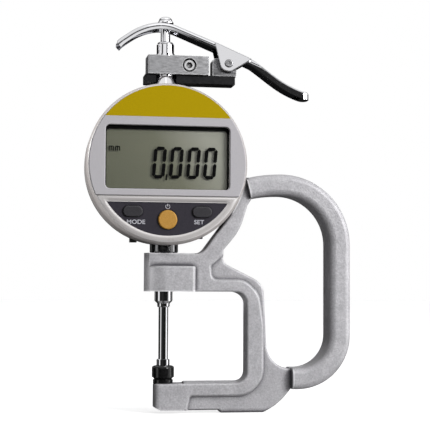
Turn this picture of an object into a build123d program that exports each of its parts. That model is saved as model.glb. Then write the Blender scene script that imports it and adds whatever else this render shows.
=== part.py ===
from build123d import *
import os
from math import atan, cos, degrees, radians, sin, sqrt

# Digital thickness gauge: a cast C-frame with a D-shaped grip carries a round digital
# indicator by its stem, and a stamped lever on top lifts the spindle off the anvil.
# Frame of the model, in millimetres: origin on the spindle axis at the flat underside of
# the anvil arm, +X towards the grip, +Z up the spindle, -Y towards the display.

# General fits
running_gap = 0.05
seat_gap = 0.01
button_gap = 0.15
measuring_gap = 0.02
fork_gap = 0.08
clear_gap = 0.3

# Cast frame
throat_depth = 37.1
throat_height = 40.5
throat_corner_r = 5.2
throat_crown = 1.0
anvil_arm_height = 11.8
anvil_arm_end = 4.1
anvil_arm_corner_r = 2.0
anvil_pad_end = 9.0
clamp_arm_height = 17.0
web_thickness = 7.6
rib_thickness = 10.4
rib_width = 6.9
rib_depth_below_throat = 5.1
rib_slope = 35.0
cast_edge_r = 0.9
heel_start = throat_depth - 12.7
heel_drop = 1.2
heel_end = throat_depth + 7.7
spine_width = 9.5
spine_lean = 2.0
shoulder_slope = 26.4
neck_slope = 53.5
neck_gap = 0.7
neck_foot_x = 26.2
neck_foot_height = 5.6
boss_r = 8.8
boss_length = 13.2
boss_lip = 7.0
boss_pocket_height = 5.7
boss_edge_r = 1.5
end_chamfer_x = 2.6
end_chamfer_z = 1.4

# Grip
grip_width = 9.4
grip_thickness = 16.0
grip_edge_r = 2.6
grip_reach = throat_depth + 42.1
grip_top_bend_r = 26.8
grip_foot_bend_r = 19.3
grip_top_below_dial = 7.9
grip_top_sag = 1.9
grip_foot_z = 13.7
grip_foot_x = throat_depth + 20.3

# Spindle, contact and anvil
spindle_d = 4.3
anvil_d = 8.8
anvil_height = 1.8
anvil_shank_d = 5.0
anvil_shank_length = 6.5
contact_d = 9.8
contact_height = 5.9
collar_ring_d = spindle_d + 1.5
collar_ring_height = 2.9
thread_d = 2.5

# Stems of the indicator
stem_d = 8.0
stem_bore_d = spindle_d + 0.9
stem_below_arm = 4.2
nose_d = spindle_d + 1.3
nose_length = 2.7
bush_length = 6.0
stem_collar_d = 12.6
stem_collar_height = 3.2
upper_stem_d = 9.1
upper_stem_length = 17.4
upper_flare_d = 12.4
upper_flare_height = 5.2

# Indicator case, in a frame of its own: radius about the dial centre, depth along Y
dial_r = 35.7
dial_draft = 0.4
case_wall = 1.8
front_round = 2.8
face_y = -12.6
panel_y = -13.4
wall_back_y = -11.0
case_back_y = 7.0
gasket_thickness = 0.4
rear_depth = 5.2
rear_wall = 1.6
back_plate_thickness = 1.2
panel_r = dial_r - 1.1
panel_bottom = -0.398 * dial_r
name_plate_bottom = 0.571 * dial_r
name_plate_thickness = 0.4
inlay_gap = 0.05
window_width = 1.535 * dial_r
window_height = 0.7815 * dial_r
window_centre = 0.0742 * dial_r
window_corner_r = 2.0
glass_margin = 1.2
glass_thickness = 1.0
display_thickness = 1.6
keypad_r = dial_r - 4.0
keypad_top = -0.476 * dial_r
keypad_thickness = 0.7
keypad_recess = 0.9
oblong_length = 0.238 * dial_r
oblong_height = 0.132 * dial_r
oblong_x = 0.426 * dial_r
oblong_z = -0.591 * dial_r
round_button_d = 0.235 * dial_r
round_button_z = -0.689 * dial_r
button_front_y = -13.5
button_travel = 0.5
button_flange = 0.9
flange_thickness = 0.6
board_r = dial_r - 4.2
board_y = -7.6
board_thickness = 1.2
board_post_d = 4.0
board_post_low = (0.70 * dial_r, -0.476 * dial_r)
board_post_high = (0.448 * dial_r, 0.672 * dial_r)
battery_d = 20.0
battery_thickness = 3.2

# Lifting lever and its bracket
block_gap = 5.0
block_left = 8.3
block_right = 19.0
block_depth = 12.0
block_height = 8.4
block_screw_x = 10.2
block_screw_head_d = 5.0
block_counterbore_d = 6.2
slit_width = 0.8
cap_d = 7.8
cap_height = 5.6
washer_d = 8.6
washer_height = 0.8
plate_thickness = 3.7
plate_left = 9.4
plate_right = 31.2
plate_front = 4.2
hinge_left = 21.0
hinge_right = 31.8
hinge_height = 8.1
pivot_x = 28.0
pivot_rise = 5.7
pin_d = 2.4
pin_head_d = 3.6
pin_head_height = 0.6
lever_sheet = 1.0
lever_ratio = 30.0
lift_height = 17.8
fork_slot_width = spindle_d + 0.6
prong_width = 2.35
lever_width = fork_slot_width + 2 * prong_width
lever_depth = 3.1
fork_bend_r = 2.1
arm_bend_r = 0.9
fork_tip_x = -21.9
fork_angle = 0.79
ear_lean = 3.0
ear_r = 3.2
ear_sheet = 0.8
nut_d = spindle_d + 2.3
nut_height = 3.0
hinge_width = lever_width - 2 * lever_sheet - 0.4

# Levels along the spindle axis
anvil_face_z = anvil_arm_height + anvil_height
contact_z = anvil_face_z + measuring_gap
collar_ring_z = contact_z + contact_height
spindle_z = collar_ring_z + collar_ring_height
clamp_arm_z = anvil_arm_height + throat_height
clamp_top_z = clamp_arm_z + clamp_arm_height
nose_z = clamp_arm_z - stem_below_arm - nose_length
dial_z = clamp_top_z + stem_collar_height + dial_r
dial_top_z = dial_z + dial_r
block_z = dial_top_z + block_gap
block_top_z = block_z + block_height
stem_seat_z = dial_z - dial_r + 0.9
upper_stem_z = block_top_z + 0.3 - upper_stem_length
flare_z = dial_top_z - 0.8
washer_z = block_top_z + 0.3
cap_z = washer_z + washer_height
pivot_z = block_z + pivot_rise
nut_z = pivot_z + lift_height + fork_gap
bush_d = stem_bore_d - 2 * seat_gap
guide_d = spindle_d + 2 * running_gap


def face_of(points):
    """A face in the XZ plane from corners given as x, z and corner radius."""
    corners = [(x, z) for x, z, r in points]
    radii = [r for x, z, r in points]
    return make_face(FilletPolyline(*corners, radius=radii, close=True).edges())


def slab(face, front, back):
    """Extrude a face drawn in x and z from depth front to depth back along Y."""
    return extrude(Plane.XZ.offset(-back) * face, amount=back - front)


def level_slab(face, thickness):
    return slab(face, -thickness / 2, thickness / 2)


def turned(points):
    """Revolve a half profile, given as radius and height, about the spindle axis."""
    outline = Polyline(*points, close=True)
    return revolve(Plane.XZ * make_face(outline.edges()), axis=Axis.Z)


def rod(diameter, bottom, top, x=0.0, y=0.0):
    height = top - bottom
    return Pos(x, y, bottom + height / 2) * Cylinder(diameter / 2, height)


def cross_rod(diameter, front, back, x=0.0, z=0.0):
    """A cylinder along Y."""
    return slab(Pos(x, z) * Circle(diameter / 2), front, back)


def box_between(x0, x1, y0, y1, z0, z1):
    centre = Pos((x0 + x1) / 2, (y0 + y1) / 2, (z0 + z1) / 2)
    return centre * Box(x1 - x0, y1 - y0, z1 - z0)


def rounded(solid, radius, select):
    """Round the edges that select picks."""
    edges = [e for e in solid.edges() if select(e)]
    return fillet(edges, radius) if edges else solid


def at_depth(y):
    """Pick edges that lie wholly at depth y."""
    def picks(edge):
        box = edge.bounding_box()
        return abs(box.min.Y - y) < 1e-4 and abs(box.max.Y - y) < 1e-4
    return picks


def dial_segment(radius, bottom=None, top=None):
    """A disc about the dial centre, cut off below one chord and above another."""
    disc = Pos(0, dial_z) * Circle(radius)
    low = dial_z + (bottom if bottom is not None else -2 * radius)
    high = dial_z + (top if top is not None else 2 * radius)
    band = Pos(0, (low + high) / 2) * Rectangle(4 * radius, high - low)
    return disc & band


def stadium(length, height, x, z):
    return Pos(x, z) * SlotOverall(length, height)


# Frame casting
spine_x = throat_depth + spine_width
rib_x = throat_depth + rib_width
neck_foot_z = clamp_top_z + 1.6
grip_foot_top = grip_foot_z + grip_width / 2
grip_foot_bottom = grip_foot_z - grip_width / 2
grip_top_z = dial_z - grip_top_below_dial
neck_clearance_r = dial_r + neck_gap


def neck_line(along):
    """A point on the neck's inner edge, a line that just clears the indicator case."""
    slope = radians(neck_slope)
    foot_x = neck_clearance_r * sin(slope)
    foot_z = dial_z - neck_clearance_r * cos(slope)
    return foot_x + along * cos(slope), foot_z + along * sin(slope)


def frame_outline():
    """Side view of the casting without its grip, with stock left in the throat."""
    stock = 2 * throat_crown
    tangent_x, tangent_z = neck_line(0)
    notch_x = neck_line((clamp_top_z - tangent_z) / sin(radians(neck_slope)))[0]
    shoulder_x = spine_x - spine_lean
    foot_corner_z = clamp_top_z - neck_foot_height + 1.5
    drop = (shoulder_x - neck_foot_x) * sin(radians(shoulder_slope)) / cos(radians(shoulder_slope))
    neck_top_x = grip_foot_x - 18.8
    return face_of([
        (anvil_pad_end - 3, anvil_arm_height + stock, 0),
        (anvil_pad_end - 3, 0, 0),
        (heel_start, 0, 0),
        (heel_start + heel_drop, -heel_drop, 0),
        (heel_end, -heel_drop, 0),
        (heel_end + 7.8, -heel_drop + 3.9, 28),
        (grip_foot_x + 0.8, grip_foot_bottom + 1.5, 0),
        (grip_foot_x + 0.8, grip_foot_top - 0.4, 0),
        (spine_x, grip_foot_top - 0.4, 11.5),
        (shoulder_x, foot_corner_z - drop, 8),
        (neck_foot_x, foot_corner_z, 3.5),
        (neck_foot_x, neck_foot_z, 1),
        (neck_foot_x + 7.3, neck_foot_z + 8.7, 25),
        (neck_top_x - 1.6, dial_z - 17.2, 1),
        (neck_top_x, dial_z - 14.8, 0),
        (neck_top_x, dial_z - 4.8, 0),
        (tangent_x + 3.7, dial_z - 4.8, 0),
        (tangent_x, tangent_z, 0),
        (notch_x, clamp_top_z, 5),
        (-boss_lip, clamp_top_z, 0),
        (-boss_lip, clamp_arm_z - stock, 0),
        (throat_depth - stock, clamp_arm_z - stock, stock),
        (throat_depth - stock, anvil_arm_height + stock, stock),
    ])


def rib_mask():
    """Where the casting is raised above its web: both arms, the throat rib and the neck."""
    rib_low = anvil_arm_height - rib_depth_below_throat
    rib_high = clamp_arm_z + 4.9
    far = 2 * dial_r
    return face_of([
        (neck_foot_x + 1.3, neck_foot_z - 0.4, 0),
        (neck_foot_x - 6.2, neck_foot_z - 7.0, 1.8),
        (neck_foot_x - 5.6, rib_high, 3.2),
        (throat_depth - 1.3, rib_high, 8),
        (rib_x - 2.0, clamp_arm_z - 1.3, 8),
        (rib_x, clamp_arm_z - 14.3, 20),
        (rib_x, rib_low, 11.5),
        (anvil_pad_end + 2.0, rib_low, 2.0),
        (anvil_pad_end, -3.0, 0),
        (-far, -3.0, 0),
        (-far, dial_z + 5, 0),
        (far, dial_z + 5, 0),
        (far, neck_foot_z - 0.4, 0),
    ])


def throat_face(inset):
    """The throat opening, with its floor and back wall moved in by an inset."""
    mouth_x = -4 * anvil_arm_end
    return face_of([
        (mouth_x, anvil_arm_height + inset, 0),
        (throat_depth - inset, anvil_arm_height + inset, throat_corner_r),
        (throat_depth - inset, clamp_arm_z, throat_corner_r),
        (mouth_x, clamp_arm_z, 0),
    ])


def throat_draft(side):
    """The drafted throat opening on one side of the parting plane."""
    mouth = throat_face(0)
    half = rib_thickness / 2
    draft = degrees(atan(throat_crown / half))
    front = extrude(Plane.XZ.offset(half) * mouth, amount=-half, taper=draft)
    return front if side < 0 else mirror(front, about=Plane.XZ)


def grip_path():
    start_x = dial_r + 1.4
    bend_x = grip_reach - grip_top_bend_r
    side_top = grip_top_z - grip_top_bend_r
    side_foot = grip_foot_z + grip_foot_bend_r
    rise = bend_x - start_x
    sag_r = (rise ** 2 + grip_top_sag ** 2) / (2 * grip_top_sag)
    sag_angle = degrees(atan(rise / (sag_r - grip_top_sag)))
    top = CenterArc((bend_x, grip_top_z - sag_r), sag_r, 90 + sag_angle, -sag_angle)
    bend = CenterArc((bend_x, side_top), grip_top_bend_r, 90, -90)
    side = Line((grip_reach, side_top), (grip_reach, side_foot))
    foot = CenterArc((grip_reach - grip_foot_bend_r, side_foot), grip_foot_bend_r, 0, -90)
    tail = Line((grip_reach - grip_foot_bend_r, grip_foot_z), (grip_foot_x, grip_foot_z))
    return Plane.XZ * Wire([top.edge(), bend.edge(), side.edge(), foot.edge(), tail.edge()])


def grip():
    path = grip_path()
    start = Plane(origin=path @ 0, x_dir=(0, 1, 0), z_dir=path % 0)
    section = start * RectangleRounded(grip_thickness, grip_width, grip_edge_r)
    return sweep(section, path=path)


def boss_body(top):
    """A half round end about the stem and a block behind it, up to a level."""
    block = box_between(0, boss_length, -boss_r, boss_r, clamp_arm_z, top)
    block = fillet(block.edges().filter_by(Axis.Z).sort_by(Axis.X)[-2:], boss_edge_r)
    return rod(2 * boss_r, clamp_arm_z, top) + block


def clamp_boss():
    """The clamp round the stem: wide below with a rounded rim, narrow above."""
    pocket_z = clamp_top_z - boss_pocket_height
    low = boss_body(pocket_z)
    low = fillet(low.faces().sort_by(Axis.Z)[-1].edges(), cast_edge_r)
    pocket = box_between(-boss_lip, 2 * boss_length, rib_thickness / 2, 2 * boss_r,
                         pocket_z - 2 * cast_edge_r, clamp_top_z + 1)
    return low + (boss_body(clamp_top_z) - pocket - mirror(pocket, about=Plane.XZ))


def rib_pads():
    """The raised parts on both sides; their edges slope out to the web."""
    half = rib_thickness / 2
    step = half - web_thickness / 2
    pad = extrude(Plane.XZ.offset(half) * rib_mask(), amount=-step - 0.5, taper=-rib_slope)
    return pad + mirror(pad, about=Plane.XZ)


def cast_level(level, thickness):
    """Draft one level of the casting in the throat and round its edges on both sides."""
    level -= throat_draft(-1) + throat_draft(1)
    half = thickness / 2
    for y in (-half, half):
        level = rounded(level, cast_edge_r,
                        lambda e: at_depth(y)(e) and e.center().X < grip_foot_x)
    return level


def machined_throat():
    """What the mill takes out of the cast throat: its flat ceiling and the anvil's seat."""
    seat = box_between(-4 * anvil_arm_end, anvil_pad_end, -rib_thickness, rib_thickness,
                       anvil_arm_height, anvil_arm_height + 2 * throat_crown)
    return level_slab(throat_face(throat_crown), 2 * rib_thickness) + seat


def anvil_end():
    """The free end of the lower arm, rounded in plan, with a bevel underneath."""
    half = rib_thickness / 2
    end = box_between(-anvil_arm_end, anvil_pad_end, -half, half, 0, anvil_arm_height)
    end = fillet(end.edges().filter_by(Axis.Z).sort_by(Axis.X)[:2], anvil_arm_corner_r)
    rim = end.faces().sort_by(Axis.Z)[-1].edges()
    end = fillet([e for e in rim if e.center().X < anvil_pad_end - 0.1], cast_edge_r)
    bevel = face_of([
        (-anvil_arm_end - 1, end_chamfer_z + 0.5, 0),
        (-anvil_arm_end, end_chamfer_z, 0),
        (end_chamfer_x - anvil_arm_end, 0, 0),
        (end_chamfer_x - anvil_arm_end, -1, 0),
        (-anvil_arm_end - 1, -1, 0),
    ])
    return end - level_slab(bevel, 2 * rib_thickness)


def frame_casting():
    outline = frame_outline()
    web = cast_level(level_slab(outline, web_thickness), web_thickness)
    ribs = cast_level(level_slab(outline, rib_thickness) & rib_pads(), rib_thickness)
    frame = web + ribs - machined_throat() + anvil_end() + grip() + clamp_boss()
    frame -= cross_rod(2 * neck_clearance_r, -grip_thickness, grip_thickness, 0, dial_z)
    frame -= rod(stem_d + 2 * seat_gap, clamp_arm_z - 1, clamp_top_z + 1)
    frame -= rod(anvil_shank_d + 2 * seat_gap, anvil_arm_height - anvil_shank_length,
                 anvil_arm_height + 1)
    frame -= cross_rod(clamp_screw_d, 0, boss_r + 1, 0, clamp_screw_z)
    return frame


# Stem clamp: a set screw from the back presses a brass shoe on the stem
clamp_screw_d = 4.0
clamp_screw_length = 3.2
clamp_screw_z = clamp_arm_z + 5.6
clamp_shoe_length = 1.2
hex_key = 2.0


def clamp_shoe():
    shoe = cross_rod(clamp_screw_d - 2 * seat_gap, 0, stem_d / 2 + clamp_shoe_length,
                     0, clamp_screw_z)
    return shoe - rod(stem_d + 2 * seat_gap, clamp_arm_z - 1, clamp_top_z + 1)


def clamp_screw():
    front = stem_d / 2 + clamp_shoe_length
    back = front + clamp_screw_length
    screw = cross_rod(clamp_screw_d - 2 * seat_gap, front, back, 0, clamp_screw_z)
    key = Pos(0, clamp_screw_z) * RegularPolygon(hex_key / 2, 6, major_radius=False)
    return screw - slab(key, back - 1.6, back + 1)


# Measuring faces and spindle
def anvil():
    r = anvil_d / 2
    shank = anvil_shank_d / 2
    low = anvil_arm_height - anvil_shank_length
    return turned([
        (0, low), (shank, low), (shank, anvil_arm_height), (r, anvil_arm_height),
        (r, anvil_face_z - 0.3), (r - 0.3, anvil_face_z), (0, anvil_face_z),
    ])


def contact_point():
    r = contact_d / 2
    socket = thread_d / 2 + seat_gap
    depth = contact_height - 2.0
    body = turned([
        (0, contact_z), (r - 1.1, contact_z), (r - 0.3, contact_z + 0.9),
        (r, contact_z + 0.9), (r, contact_z + contact_height),
        (socket, contact_z + contact_height),
        (socket, contact_z + contact_height - depth), (0, contact_z + contact_height - depth),
    ])
    top = body.edges().filter_by(GeomType.CIRCLE).sort_by(Axis.Z)[-2:].sort_by(SortBy.RADIUS)[-1]
    return fillet(top, 1.0)


def contact_ring():
    ring = rod(collar_ring_d, collar_ring_z, spindle_z)
    ring = chamfer(ring.edges().filter_by(GeomType.CIRCLE), 0.25)
    return ring - rod(thread_d + 2 * seat_gap, collar_ring_z - 1, spindle_z + 1)


def spindle():
    stub_end = nut_z + nut_height - 1.0
    shaft = rod(spindle_d, spindle_z, nut_z)
    return shaft + rod(thread_d, collar_ring_z - 3.0, spindle_z) + rod(thread_d, nut_z, stub_end)


def lift_nut():
    r = nut_d / 2
    crown_r = r - 1.1
    top = nut_z + nut_height
    dome = ThreePointArc((r - 0.1, nut_z + 1.0), (r - 0.7, nut_z + 2.2), (crown_r - 0.9, top - 0.15))
    outline = [
        Line((0, nut_z), (r + 0.3, nut_z)), Line((r + 0.3, nut_z), (r + 0.3, nut_z + 0.4)),
        Line((r + 0.3, nut_z + 0.4), (r - 0.1, nut_z + 1.0)), dome,
        Line((crown_r - 0.9, top - 0.15), (0, top)), Line((0, top), (0, nut_z)),
    ]
    nut = revolve(Plane.XZ * make_face(outline), axis=Axis.Z)
    return nut - rod(thread_d + 2 * seat_gap, nut_z - 1, top - 0.9)


# Stems, bushes and collars
def stem():
    r = stem_d / 2
    nose_r = nose_d / 2
    bore = stem_bore_d / 2
    top = stem_seat_z + 5.0
    cone_z = nose_z + nose_length
    return turned([
        (bore, nose_z + 0.6), (nose_r, nose_z + 0.6), (nose_r, cone_z - 1.1),
        (r, cone_z), (r, top), (bore, top),
    ]) + turned([
        (guide_d / 2, nose_z), (nose_r - 0.3, nose_z), (nose_r, nose_z + 0.3),
        (nose_r, nose_z + 0.6), (guide_d / 2, nose_z + 0.6),
    ])


def bush(bottom):
    return rod(bush_d, bottom, bottom + bush_length) - rod(guide_d, bottom - 1,
                                                           bottom + bush_length + 1)


def stem_collar():
    collar = rod(stem_collar_d, clamp_top_z, stem_seat_z)
    collar = chamfer(collar.edges().filter_by(GeomType.CIRCLE).sort_by(Axis.Z)[0], 0.5)
    return collar - rod(stem_d + 2 * seat_gap, clamp_top_z - 1, stem_seat_z + 1)


def stem_flare(gap):
    """The cone under the clamp block that seats on a flat on top of the case."""
    r = upper_stem_d / 2 + gap
    foot_r = upper_flare_d / 2 + gap
    return turned([
        (0, flare_z), (foot_r, flare_z), (foot_r, flare_z + 0.8),
        (r, flare_z + upper_flare_height), (0, flare_z + upper_flare_height),
    ])


def upper_stem():
    top = upper_stem_z + upper_stem_length
    stem_body = rod(upper_stem_d, upper_stem_z, top) + stem_flare(0)
    return stem_body - rod(stem_bore_d, upper_stem_z - 1, top + 1)


def cap_washer():
    return rod(washer_d, washer_z, cap_z) - rod(stem_bore_d, washer_z - 1, cap_z + 1)


def guide_cap():
    cap = rod(cap_d, cap_z, cap_z + cap_height)
    cap = fillet(cap.edges().filter_by(GeomType.CIRCLE).sort_by(Axis.Z)[-1], 1.4)
    return cap - rod(spindle_d + 2 * clear_gap, cap_z - 1, cap_z + cap_height + 1)


# Indicator case
def window_face(margin=0.0):
    centre = Pos(0, dial_z + window_centre)
    return centre * RectangleRounded(window_width + 2 * margin, window_height + 2 * margin,
                                     window_corner_r + margin)


def button_faces(margin):
    """The three button outlines, grown by a margin: left oblong, right oblong, round."""
    length = oblong_length + 2 * margin
    height = oblong_height + 2 * margin
    left = stadium(length, height, -oblong_x, dial_z + oblong_z)
    right = stadium(length, height, oblong_x, dial_z + oblong_z)
    centre = Pos(0, dial_z + round_button_z) * Circle(round_button_d / 2 + margin)
    return left, right, centre


def indicator_case():
    """A deep drum, drafted towards the back, with a rounded front edge and a front wall."""
    back_r = dial_r - dial_draft
    outline = [
        Line((0, face_y), (dial_r - front_round, face_y)),
        RadiusArc((dial_r - front_round, face_y), (dial_r, face_y + front_round), -front_round),
        Line((dial_r, face_y + front_round), (back_r, case_back_y)),
        Line((back_r, case_back_y), (back_r - case_wall, case_back_y)),
        Line((back_r - case_wall, case_back_y), (back_r - case_wall, wall_back_y)),
        Line((back_r - case_wall, wall_back_y), (0, wall_back_y)),
        Line((0, wall_back_y), (0, face_y)),
    ]
    profile = Pos(0, 0, dial_z) * make_face(outline)
    case = revolve(profile, axis=Axis((0, 0, dial_z), (0, 1, 0)))
    inside = cross_rod(2 * (back_r - case_wall) + 1, wall_back_y, case_back_y, 0, dial_z)
    lower = box_between(-8, 8, wall_back_y - 0.5, case_back_y, stem_seat_z, stem_seat_z + 4)
    upper = box_between(-7, 7, wall_back_y - 0.5, case_back_y, dial_top_z - 6, dial_top_z - 1)
    case += (lower & inside) + (upper & inside)
    for x, z in (board_post_low, board_post_high):
        case += cross_rod(board_post_d, wall_back_y - 0.5, board_y, -x, dial_z + z)
        case += cross_rod(board_post_d, wall_back_y - 0.5, board_y, x, dial_z + z)
    seat = rod(stem_collar_d + 0.4, dial_z - dial_r - 3, stem_seat_z)
    case -= seat
    case -= rod(stem_d + 2 * seat_gap, stem_seat_z - 1, stem_seat_z + 6)
    case -= rod(upper_stem_d + 2 * seat_gap, dial_top_z - 8, dial_top_z + 1)
    case -= rod(upper_flare_d + 0.4, flare_z, dial_top_z + 1)
    case -= slab(dial_segment(panel_r + inlay_gap, bottom=panel_bottom - inlay_gap),
                 face_y - 1, face_y + 0.8)
    case -= slab(dial_segment(keypad_r, top=keypad_top), face_y - 1, face_y + keypad_recess)
    case -= slab(window_face(), face_y - 1, wall_back_y + 1)
    for face in button_faces(button_gap):
        case -= slab(face, face_y - 1, wall_back_y + 1)
    for z in (guide_pin_low, guide_pin_high - 1.5):
        case -= rod(guide_pin_d + 2 * seat_gap, z, z + 1.5, guide_pin_x)
    return case


def face_panel():
    plate = slab(dial_segment(panel_r, bottom=panel_bottom), panel_y, face_y + 0.8)
    plate -= slab(window_face(), panel_y - 1, face_y + 1)
    plate = rounded(plate, 0.4, at_depth(panel_y))
    recess = dial_segment(panel_r + 1, bottom=name_plate_bottom - inlay_gap)
    return plate - slab(recess, panel_y - 1, panel_y + name_plate_thickness)


def name_plate():
    return slab(dial_segment(panel_r - 0.3, bottom=name_plate_bottom), panel_y - 0.1,
                panel_y + name_plate_thickness)


def window_glass():
    front = wall_back_y
    return slab(window_face(glass_margin), front, front + glass_thickness)


def display_module():
    front = wall_back_y + glass_thickness
    return slab(window_face(glass_margin), front, front + display_thickness)


def keypad_panel():
    plate = slab(dial_segment(keypad_r - inlay_gap, top=keypad_top - inlay_gap),
                 face_y + keypad_recess - keypad_thickness, face_y + keypad_recess)
    for face in button_faces(button_gap):
        plate -= slab(face, face_y - 1, face_y + 2)
    return plate


def button(index, edge_r):
    """A cap with a flange behind the front wall that keeps it in."""
    cap_back = wall_back_y + 0.2
    cap = slab(button_faces(0)[index], button_front_y, cap_back)
    cap = rounded(cap, edge_r, at_depth(button_front_y))
    flange = slab(button_faces(button_flange)[index], cap_back, cap_back + flange_thickness)
    return cap + flange


def circuit_board():
    """A round board, cut away where the two stems enter the case."""
    board = dial_segment(board_r, bottom=stem_seat_z + 4.4 - dial_z, top=dial_r - 6.4)
    return slab(board, board_y, board_y + board_thickness)


def key_switches():
    """Three tact switches on the board, just behind the buttons."""
    front = wall_back_y + 0.2 + flange_thickness + button_travel + 0.1
    low = dial_z + oblong_z
    centres = ((-oblong_x, low), (oblong_x, low), (0, dial_z + round_button_z))
    size = 5.0
    return Part() + [
        box_between(x - size / 2, x + size / 2, front, board_y, z - size / 2, z + size / 2)
        for x, z in centres
    ]


# Moving scale and guide inside the case
guide_pin_d = 2.5
guide_pin_x = -12.0
guide_pin_low = dial_z - sqrt((dial_r - dial_draft - case_wall) ** 2 - guide_pin_x ** 2) - 1.0
guide_pin_high = dial_z + sqrt((dial_r - dial_draft - case_wall) ** 2 - guide_pin_x ** 2) + 1.0
carrier_z = dial_z - 0.7115 * dial_r
carrier_height = 8.0
carrier_half_depth = 3.0
scale_x = 9.0
scale_width = 6.0
scale_length = 0.95 * dial_r
scale_thickness = 0.9
reader_gap = 0.3
spring_wire = 0.6
spring_d = 7.2
spring_turns = 7


def guide_pin():
    return rod(guide_pin_d, guide_pin_low, guide_pin_high, guide_pin_x)


def scale_carrier():
    """Clamped to the spindle; a second bore slides on the guide pin, so nothing turns."""
    left = guide_pin_x - guide_pin_d / 2 - 1.4
    right = scale_x + scale_width / 2
    body = box_between(left, right, -carrier_half_depth, carrier_half_depth,
                       carrier_z, carrier_z + carrier_height)
    body = fillet(body.edges().filter_by(Axis.Z), 0.8)
    body -= rod(spindle_d + 2 * seat_gap, carrier_z - 1, carrier_z + carrier_height + 1)
    return body - rod(guide_pin_d + 2 * running_gap, carrier_z - 1,
                      carrier_z + carrier_height + 1, guide_pin_x)


def encoder_scale():
    back = -carrier_half_depth
    return box_between(scale_x - scale_width / 2, scale_x + scale_width / 2,
                       back - scale_thickness, back, carrier_z, carrier_z + scale_length)


def encoder_head():
    back = -carrier_half_depth - scale_thickness - reader_gap
    front = board_y + board_thickness
    return box_between(scale_x - 5, scale_x + 5, front, back, dial_z - 14, dial_z)


def spindle_spring():
    low = carrier_z + carrier_height + spring_wire / 2
    length = upper_stem_z - low - spring_wire
    coil_r = (spring_d - spring_wire) / 2
    path = Pos(0, 0, low) * Helix(length / spring_turns, length, coil_r)
    wire = Plane(origin=path @ 0, z_dir=path % 0) * RegularPolygon(spring_wire / 2, 6)
    return sweep(wire, path=path, is_frenet=True)


# Back of the indicator
rear_front_y = case_back_y + gasket_thickness
rear_back_y = rear_front_y + rear_depth
rear_r = dial_r - dial_draft - 0.3
lug_spread = 15.0
lug_shift = 2.1
lug_width = 3.0
back_screw_r = dial_r - 5.7
back_screw_d = 4.0
battery_cover_d = 24.0
battery_z = -8.0


def case_gasket():
    ring = cross_rod(2 * rear_r - 0.4, case_back_y, rear_front_y, 0, dial_z)
    return ring - cross_rod(2 * (rear_r - 1.5), case_back_y - 1, rear_front_y + 1, 0, dial_z)


def rear_housing():
    """A shallow ring with four screw bosses and two small feet at its lower edge."""
    ring = cross_rod(2 * rear_r, rear_front_y, rear_back_y, 0, dial_z)
    for x in (lug_shift - lug_spread, lug_shift + lug_spread):
        low = dial_z - sqrt((rear_r + 1.3) ** 2 - x ** 2)
        ring += box_between(x - lug_width / 2, x + lug_width / 2, rear_front_y, rear_back_y - 1,
                            low, low + 4)
    ring -= cross_rod(2 * (rear_r - rear_wall), rear_front_y - 1, rear_back_y + 1, 0, dial_z)
    for x, z in back_screw_places():
        ring += cross_rod(2 * back_screw_d - 1, rear_front_y + 0.5, rear_back_y, x, z)
        ring -= cross_rod(2.0, rear_back_y - 4, rear_back_y + 1, x, z)
    return ring


def back_screw_places():
    offset = back_screw_r * sqrt(0.5)
    return [(x, dial_z + z) for x in (-offset, offset) for z in (-offset, offset)]


def back_plate():
    plate = cross_rod(2 * (rear_r - 0.6), rear_back_y, rear_back_y + back_plate_thickness,
                      0, dial_z)
    plate = rounded(plate, 0.5, at_depth(rear_back_y + back_plate_thickness))
    plate -= cross_rod(battery_cover_d + 0.2, rear_back_y - 1, rear_back_y + 3,
                       0, dial_z + battery_z)
    for x, z in back_screw_places():
        plate -= cross_rod(2.2, rear_back_y - 1, rear_back_y + 3, x, z)
    return plate


def back_screws():
    screws = Part()
    head_y = rear_back_y + back_plate_thickness
    for x, z in back_screw_places():
        screw = cross_rod(back_screw_d, head_y, head_y + 0.9, x, z)
        screw = rounded(screw, 0.4, at_depth(head_y + 0.9))
        screw += cross_rod(2.0 - 2 * seat_gap, head_y - 4, head_y, x, z)
        screw -= slab(Pos(x, z) * Rectangle(2.6, 0.5), head_y + 0.45, head_y + 2)
        screw -= slab(Pos(x, z) * Rectangle(0.5, 2.6), head_y + 0.45, head_y + 2)
        screws += screw
    return screws


def battery():
    back = rear_back_y
    cell = cross_rod(battery_d, back - battery_thickness, back, 0, dial_z + battery_z)
    return rounded(cell, 0.4, at_depth(back - battery_thickness))


def battery_cover():
    back = rear_back_y + back_plate_thickness
    cover = cross_rod(battery_cover_d, rear_back_y, back + 0.4, 0, dial_z + battery_z)
    cover = rounded(cover, 0.3, at_depth(back + 0.4))
    return cover - slab(Pos(0, dial_z + battery_z) * Rectangle(12, 1.6), back - 0.4, back + 2)


# Lever bracket
def block_screw_z():
    return block_z + block_height / 2


def clamp_block():
    """Pinched on the upper stem by a screw across a slit in its end."""
    half = block_depth / 2
    block = box_between(-block_left, block_right, -half, half, block_z, block_top_z)
    block = chamfer(block.edges().filter_by(Axis.Z), 0.6)
    block -= rod(upper_stem_d + 2 * seat_gap, block_z - 1, block_top_z + 1)
    block -= box_between(0, block_right + 1, -slit_width / 2, slit_width / 2,
                         block_z - 1, block_top_z + 1)
    z = block_screw_z()
    block -= cross_rod(block_counterbore_d, -half - 1, -half + 3.4, block_screw_x, z)
    return block - cross_rod(3.0 + 2 * seat_gap, -half, half - 1.0, block_screw_x, z)


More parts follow.
